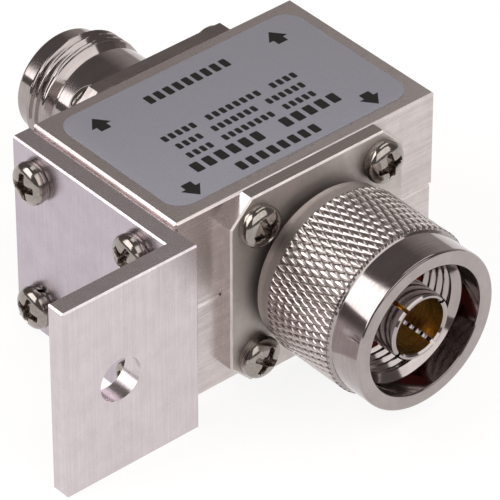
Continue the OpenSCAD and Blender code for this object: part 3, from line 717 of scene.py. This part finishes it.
# Screws: twelve small pan-head cross-recess machine screws, each on a split lock washer.
# Four hold the bracket and four hold each connector's flange.
# Polished stainless steel: bright and slightly warm, with a trace of tumbling marks.
screw_steel = plated_metal(
    "polished_stainless_steel", "#A79F99", "#918983",
    grain=(0.3, 0.3, 0.3), smooth=0.1, rough=0.18, relief=0.08)
HEAD_R = 2.6
HEAD_HEIGHT = 1.5
HEAD_WALL = 0.25
HEAD_EDGE = 0.08
HEAD_STEP = 0.07
HEAD_FIELD = 1.89
DOME_POWER = 2.3
RECESS_ARM = 0.44
RECESS_REACH = 1.75
RECESS_DEPTH = 1.05
RECESS_WALL = 0.14
RECESS_END = 0.4
RECESS_CORE = 0.6
RECESS_CORE_WIDER = 0.22
SHANK_R = 1.42
SHANK_TIP = 0.3
WASHER_R = 2.5
WASHER_BORE = 1.6
WASHER_THICK = 0.6
WASHER_SPLIT = 0.5
WASHER_SLANT = 0.35
WASHER_EDGE = 0.1
WASHER_STEPS = 60
# How far the closely spaced rings near the head's edge lie from it.
HEAD_RIM = (0.6, 0.5, 0.41, 0.32, 0.24, 0.17, 0.1, 0.05, 0.015, 0.0)
SCREW_STEPS = 128


def eased(value):
    """A soft step from 0 to 1."""
    value = min(1.0, max(0.0, value))
    return value * value * (3 - 2 * value)


def head_top(r, angle):
    """The height of a screw head's top: a round dome with a tapered cross recess."""
    share = max(0.0, 1 - (r / HEAD_R) ** DOME_POWER)
    dome = HEAD_WALL + (HEAD_HEIGHT - HEAD_WALL) * share ** (1 / DOME_POWER)
    x, y = abs(r * math.cos(angle)), abs(r * math.sin(angle))
    far, near = max(x, y), min(x, y)
    arm = RECESS_ARM + RECESS_CORE_WIDER * math.exp(-(far / RECESS_CORE) ** 2)
    return dome - RECESS_DEPTH * eased((arm - near) / RECESS_WALL) * eased((RECESS_REACH - far) / RECESS_END)


def screw_mesh(shank):
    """One screw with its head's underside at height 0 and its shank of the given length below."""
    shell = bmesh.new()
    rings = []
    for r in spaced(HEAD_STEP, HEAD_FIELD, HEAD_STEP) + [HEAD_R - gap for gap in HEAD_RIM]:
        rings.append([(r, head_top(r, math.tau * step / SCREW_STEPS)) for step in range(SCREW_STEPS)])
    for r, z in ((HEAD_R, HEAD_EDGE), (HEAD_R - HEAD_EDGE, 0.0), (SHANK_R, 0.0),
                 (SHANK_R, SHANK_TIP - shank), (SHANK_R - SHANK_TIP, -shank)):
        rings.append([(r, z)] * SCREW_STEPS)
    corners = []
    for ring in rings:
        corner_ring = []
        for step, (r, z) in enumerate(ring):
            angle = math.tau * step / SCREW_STEPS
            corner_ring.append(shell.verts.new(Vector((r * math.cos(angle), r * math.sin(angle), z)) * MM))
        corners.append(corner_ring)
    for upper, lower in zip(corners, corners[1:]):
        band(shell, lower, upper)
    shell.faces.new(corners[0])
    shell.faces.new(list(reversed(corners[-1])))
    return mesh_of(shell, "screw", angle=40)


def washer_mesh():
    """One split lock washer below height 0, with slanted cut ends."""
    shell = bmesh.new()
    section = rounded_outline(
        (WASHER_BORE, -WASHER_THICK), (WASHER_R, 0.0), WASHER_EDGE, SMALL_CORNER_STEPS)
    half_gap = WASHER_SPLIT / (WASHER_BORE + WASHER_R)
    rings = []
    for step in range(WASHER_STEPS + 1):
        ring = []
        for r, z in section:
            slant = WASHER_SLANT * (z / WASHER_THICK + 0.5) * WASHER_SPLIT
            angle = half_gap + (math.tau - 2 * half_gap) * step / WASHER_STEPS + slant
            ring.append(shell.verts.new(Vector((r * math.cos(angle), r * math.sin(angle), z)) * MM))
        rings.append(ring)
    for here, there in zip(rings, rings[1:]):
        band(shell, here, there)
    shell.faces.new(rings[0])
    shell.faces.new(list(reversed(rings[-1])))
    bmesh.ops.recalc_face_normals(shell, faces=shell.faces)
    return mesh_of(shell, "lock_washer", angle=40)


# Sets of four on a square: each copy gets its own turn, and the square is turned to its face.
fours_tree = bpy.data.node_groups.new("four_on_a_square", "GeometryNodeTree")
for name, kind in (("Geometry", "NodeSocketGeometry"), ("Spacing", "NodeSocketFloat"),
                   ("Centre", "NodeSocketVector"), ("Facing", "NodeSocketVector"),
                   ("Seed", "NodeSocketInt"), ("Material", "NodeSocketMaterial")):
    fours_tree.interface.new_socket(name, in_out="INPUT", socket_type=kind)
fours_tree.interface.new_socket("Geometry", in_out="OUTPUT", socket_type="NodeSocketGeometry")
given = add(fours_tree, "NodeGroupInput", {}).outputs
square = add(fours_tree, "GeometryNodeMeshGrid", {
    "Size X": given["Spacing"], "Size Y": given["Spacing"], "Vertices X": 2, "Vertices Y": 2})
own_turn = add(fours_tree, "FunctionNodeRandomValue", {
    0: (0.0, 0.0, 0.0), 1: (0.0, 0.0, math.tau), "Seed": given["Seed"]}, data_type="FLOAT_VECTOR")
copies = add(fours_tree, "GeometryNodeInstanceOnPoints", {
    "Points": square.outputs["Mesh"], "Instance": given["Geometry"],
    "Rotation": add(fours_tree, "FunctionNodeEulerToRotation", {0: own_turn.outputs[0]}).outputs[0]})
faced = add(fours_tree, "GeometryNodeTransform", {
    "Geometry": copies.outputs[0], "Translation": given["Centre"],
    "Rotation": add(fours_tree, "FunctionNodeEulerToRotation", {0: given["Facing"]}).outputs[0]})
real = add(fours_tree, "GeometryNodeRealizeInstances", {"Geometry": faced.outputs[0]})
metal = add(fours_tree, "GeometryNodeSetMaterial", {
    "Geometry": real.outputs[0], "Material": given["Material"]})
add(fours_tree, "NodeGroupOutput", {0: metal.outputs[0]})

BRACKET_SPACING = 17.5
FLANGE_SPACING = 18.26
BRACKET_SEAT = (-16.1, 7.9, 0.0)
MALE_SEAT = (-1.35, AXIS_Y, AXIS_Z)
FEMALE_SEAT = (-30.85, AXIS_Y, AXIS_Z)
# Each set: its name, the middle of its square under the heads, its turn, its spacing, the seed of its
# screws' own turns, and the axis along which its shanks run.
sets = (("bracket", BRACKET_SEAT, (math.pi / 2, 0, 0), BRACKET_SPACING, 3, 1),
        ("male_flange", MALE_SEAT, (0, math.pi / 2, 0), FLANGE_SPACING, 5, 0),
        ("female_flange", FEMALE_SEAT, (0, -math.pi / 2, 0), FLANGE_SPACING, 8, 0))
for name, centre, facing, spacing, seed, depth_axis in sets:
    screws_node = f"{name}_screws"
    low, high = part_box(screws_node)
    shank = (high[depth_axis] - low[depth_axis]) / MM - HEAD_HEIGHT
    sizes = {"Spacing": spacing * MM, "Centre": [value * MM for value in centre], "Facing": facing,
             "Seed": seed, "Material": screw_steel}
    for piece_name, mesh, node in (
            (f"{name}_pan_heads", screw_mesh(shank), screws_node),
            (f"{name}_split_washers", washer_mesh(), f"{name.split('_')[0]}_lock_washers")):
        piece = placed(piece_name, mesh)
        baked(piece, fours_tree, sizes, angle=40)
        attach(piece, "arrestor")
        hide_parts(node)

# Inner line: the brass conductors with their coupling discs, the blocking disc between them,
# and the gas tube with its spring, all shut inside the housing.
# Bare machined brass, white fired ceramic, and end caps with a soft nickel shine.
line_brass = plated_metal(
    "machined_brass", "#CDB878", "#B8A262",
    grain=(0.2, 5, 5), smooth=0.2, rough=0.32, relief=0.1)
tube_alumina = soft_solid(
    "fired_alumina", "#F0E4DB", "#E6D8CE", patch=0.6, rough=0.5, relief=0.1)
tube_electrode = plated_metal(
    "nickel_plated_electrode", "#B9B6B0", "#A5A29C",
    grain=(0.2, 4, 4), smooth=0.18, rough=0.28, relief=0.1)
for node, material in (("equipment_line", line_brass), ("antenna_line", line_brass),
                       ("blocking_disc", white_fluoropolymer), ("gas_tube_ceramic", tube_alumina),
                       ("gas_tube_electrodes", tube_electrode), ("tube_spring", spring_bronze)):
    nodes[node].material_slots[0].material = material

# Studio: a white table, a soft box on the left, a strip above, a wide box in front, and grey
# walls that are paler low at the back. The table shows white to the camera and in the metal, and
# still takes the part's shadow.
FLOOR_LEVEL = -12.7
FLOOR_HALF = 2000
TABLE_GLOW = 0.86
floor_mesh = bpy.data.meshes.new("table")
floor_corners = [(x * FLOOR_HALF * MM, y * FLOOR_HALF * MM, FLOOR_LEVEL * MM)
                 for x, y in ((-1, -1), (1, -1), (1, 1), (-1, 1))]
floor_mesh.from_pydata(floor_corners, [], [(0, 1, 2, 3)])
floor = placed("table", floor_mesh)
table_white, table_tree = new_material("white_table")
ray = add(table_tree, "ShaderNodeLightPath", {}).outputs
direct = add(table_tree, "ShaderNodeMath", {
    0: ray["Is Camera Ray"], 1: ray["Is Glossy Ray"]}, operation="ADD").outputs[0]
seen = add(table_tree, "ShaderNodeMath", {
    0: direct, 1: ray["Is Transmission Ray"]}, operation="ADD").outputs[0]
level = add(table_tree, "ShaderNodeMath", {0: seen, 1: TABLE_GLOW}, operation="MULTIPLY").outputs[0]
glow = add(table_tree, "ShaderNodeEmission", {"Color": linear("#FFFFFF"), "Strength": level})
matt = add(table_tree, "ShaderNodeBsdfDiffuse", {"Color": linear("#7C7A78")})
table = add(table_tree, "ShaderNodeAddShader", {0: glow.outputs[0], 1: matt.outputs[0]})
add(table_tree, "ShaderNodeOutputMaterial", {"Surface": table.outputs[0]})
floor_mesh.materials.append(table_white)

PALE_WAY = (-0.465, 0.879, -0.103)
PALE_FROM = 0.6
PALE_TO = 0.92
world = bpy.data.worlds.new("studio")
bpy.context.scene.world = world
world.use_nodes = True
world.node_tree.nodes.clear()
way_out = add(world.node_tree, "ShaderNodeTexCoord", {}).outputs["Generated"]
backward = add(world.node_tree, "ShaderNodeVectorMath", {
    0: way_out, 1: PALE_WAY}, operation="DOT_PRODUCT").outputs["Value"]
paler = add(world.node_tree, "ShaderNodeMapRange", {
    "Value": backward, "From Min": PALE_FROM, "From Max": PALE_TO}).outputs[0]
wall = add(world.node_tree, "ShaderNodeMix", {
    0: paler, 6: linear("#706B69"), 7: linear("#B4AEAB")}, data_type="RGBA").outputs[2]
walls = add(world.node_tree, "ShaderNodeBackground", {"Color": wall, "Strength": 1.0})
add(world.node_tree, "ShaderNodeOutputWorld", {"Surface": walls.outputs[0]})

AIM = Vector((-12.0, 22.0, 0.0)) * MM
# Each lamp: its name, its way from the part, its roll in degrees, its distance, width and height in
# metres, and its power in watts.
for name, way, roll, distance, width, height, power in (
        ("left_soft_box", (-0.3555, -0.7406, 0.5736), 0, 0.6, 0.445, 0.516, 2.2),
        ("top_strip_box", (-0.28, 0.37, 0.885), -26, 0.6, 0.20, 0.50, 0.45),
        ("front_soft_box", (0.74, 0.02, 0.67), 0, 0.7, 1.00, 0.75, 3.5)):
    lamp = bpy.data.lights.new(name, "AREA")
    lamp.shape = "RECTANGLE"
    lamp.size = width
    lamp.size_y = height
    lamp.energy = power
    soft_box = placed(name, lamp)
    soft_box.location = AIM + Vector(way).normalized() * distance
    spin = Quaternion((0, 0, 1), math.radians(roll))
    soft_box.rotation_euler = (Vector(way).to_track_quat("Z", "Y") @ spin).to_euler()

# Camera: a long lens from the front left and above, solved from the photo's straight edges.
LENS = 331.97
CAMERA_PLACE = (303.48, -243.58, 312.65)
CAMERA_WAY = (-0.60291, 0.52065, -0.60450)
camera_data = bpy.data.cameras.new("camera")
camera_data.sensor_width = 36.0
camera_data.sensor_fit = "HORIZONTAL"
camera_data.lens = LENS
camera = placed("camera", camera_data)
camera.location = Vector(CAMERA_PLACE) * MM
camera.rotation_euler = Vector(CAMERA_WAY).to_track_quat("-Z", "Y").to_euler()
bpy.context.scene.camera = camera
bpy.context.scene.view_settings.view_transform = "Standard"
